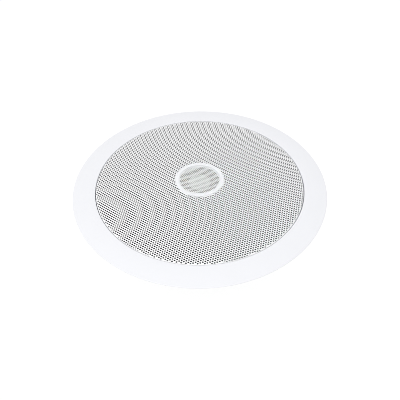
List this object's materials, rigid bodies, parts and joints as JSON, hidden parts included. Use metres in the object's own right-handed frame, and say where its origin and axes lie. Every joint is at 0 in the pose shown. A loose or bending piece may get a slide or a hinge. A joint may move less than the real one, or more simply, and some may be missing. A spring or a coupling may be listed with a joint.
{
  "type": "in ceiling speaker",
  "caption": "Round in-ceiling loudspeaker: white flange and domed perforated grille with a raised tweeter ring, woofer behind, swing-out ceiling clamps.",
  "frame": {"origin": "centre of the flange's rear face, where it meets the ceiling board", "axes": "+Z out of the ceiling into the room, through the grille; +Y towards the crossover and its cable terminals"},
  "size_m": [0.24, 0.24, 0.091],
  "materials": {
    "frame_white": "satin moulded",
    "grille_white": "white powder coat",
    "ring_white": "smooth white",
    "scrim_cloth": "thin open cloth",
    "mesh_grey": "fine woven steel, painted",
    "black_plastic": "moulded black",
    "zinc_steel": "zinc plated",
    "basket_black": "black powder coat",
    "gasket_foam": "closed foam",
    "surround_rubber": "matt rubber",
    "cone_poly": "mineral filled sheet",
    "cap_poly": "smooth dome",
    "spider_cloth": "resin dipped cloth",
    "former_paper": "treated paper",
    "copper": "enamelled copper wire",
    "ferrite": "ground ferrite",
    "dome_foil": "satin aluminium foil",
    "grey_plastic": "moulded dark grey",
    "rare_earth": "nickel plated",
    "tag_board": "phenolic board",
    "board_green": "green solder mask",
    "capacitor_sleeve": "shrunk sleeve",
    "resistor_ceramic": "cement body",
    "contact_brass": "plated contact",
    "lever_red": "glossy red",
    "lever_black": "glossy black",
    "lead_jacket": "insulated lead",
    "spacer_white": "nylon"
  },
  "bodies": {
    "frame": {"mounting_frame": "frame_white", "frame_barrel": "frame_white", "woofer_well": "frame_white", "frame_ribs": "frame_white", "grille": "grille_white", "grille_cloth": "scrim_cloth", "centre_ring": "ring_white", "tweeter_mesh": "mesh_grey", "ring_retainer": "black_plastic", "tweeter_bridge": "black_plastic", "bridge_screws": "zinc_steel", "tweeter_face": "grey_plastic", "tweeter_dome": "dome_foil", "tweeter_coil": "copper", "tweeter_cup": "zinc_steel", "tweeter_magnet": "rare_earth", "tweeter_pole_disc": "zinc_steel", "woofer_basket": "basket_black", "basket_rim": "basket_black", "woofer_gasket": "gasket_foam", "woofer_surround": "surround_rubber", "woofer_spider": "spider_cloth", "top_plate": "zinc_steel", "ferrite_ring": "ferrite", "yoke": "zinc_steel", "woofer_screws": "zinc_steel", "tag_strip": "tag_board", "tinsel_leads": "copper", "crossover_bracket": "zinc_steel", "bracket_screws": "zinc_steel", "circuit_board": "board_green", "board_spacers": "spacer_white", "board_screws": "zinc_steel", "inductor_bobbin": "black_plastic", "inductor_winding": "copper", "capacitors": "capacitor_sleeve", "resistor": "resistor_ceramic", "terminal_block": "black_plastic", "contact_springs": "contact_brass", "tweeter_leads": "lead_jacket", "woofer_leads": "lead_jacket"},
    "cone_assembly": {"woofer_cone": "cone_poly", "dust_cap": "cap_poly", "coil_former": "former_paper", "voice_coil": "copper"},
    "lever_red": {"lever_red": "lever_red"},
    "lever_black": {"lever_black": "lever_black"},
    "clamp_screw_1": {"clamp_screw_1": "zinc_steel"},
    "clamp_1": {"clamp_1": "black_plastic"},
    "clamp_screw_2": {"clamp_screw_2": "zinc_steel"},
    "clamp_2": {"clamp_2": "black_plastic"},
    "clamp_screw_3": {"clamp_screw_3": "zinc_steel"},
    "clamp_3": {"clamp_3": "black_plastic"},
    "clamp_screw_4": {"clamp_screw_4": "zinc_steel"},
    "clamp_4": {"clamp_4": "black_plastic"}
  },
  "joints": [
    {"name": "cone_travel", "type": "slide", "parent": "frame", "child": "cone_assembly", "axis": [0, 0, 1], "range_m": [-0.0025, 0.0025], "stiffness_N_per_m": 1500},
    {"name": "clamp_swing_1", "type": "hinge", "parent": "frame", "child": "clamp_screw_1", "pos_m": [0.06527, 0.06527, -0.02], "axis": [0, 0, -1], "range_deg": [0, 90]},
    {"name": "clamp_lift_1", "type": "slide", "parent": "clamp_screw_1", "child": "clamp_1", "axis": [0, 0, 1], "range_m": [0, 0.012]},
    {"name": "clamp_swing_2", "type": "hinge", "parent": "frame", "child": "clamp_screw_2", "pos_m": [-0.06527, 0.06527, -0.02], "axis": [0, 0, -1], "range_deg": [0, 90]},
    {"name": "clamp_lift_2", "type": "slide", "parent": "clamp_screw_2", "child": "clamp_2", "axis": [0, 0, 1], "range_m": [0, 0.012]},
    {"name": "clamp_swing_3", "type": "hinge", "parent": "frame", "child": "clamp_screw_3", "pos_m": [-0.06527, -0.06527, -0.02], "axis": [0, 0, -1], "range_deg": [0, 90]},
    {"name": "clamp_lift_3", "type": "slide", "parent": "clamp_screw_3", "child": "clamp_3", "axis": [0, 0, 1], "range_m": [0, 0.012]},
    {"name": "clamp_swing_4", "type": "hinge", "parent": "frame", "child": "clamp_screw_4", "pos_m": [0.06527, -0.06527, -0.02], "axis": [0, 0, -1], "range_deg": [0, 90]},
    {"name": "clamp_lift_4", "type": "slide", "parent": "clamp_screw_4", "child": "clamp_4", "axis": [0, 0, 1], "range_m": [0, 0.012]},
    {"name": "lever_red_press", "type": "hinge", "parent": "frame", "child": "lever_red", "pos_m": [0.00675, 0.091, -0.0496], "axis": [-1, 0, 0], "range_deg": [0, 25], "stiffness_Nm_per_rad": 0.02},
    {"name": "lever_black_press", "type": "hinge", "parent": "frame", "child": "lever_black", "pos_m": [-0.00675, 0.091, -0.0496], "axis": [-1, 0, 0], "range_deg": [0, 25], "stiffness_Nm_per_rad": 0.02}
  ]
}
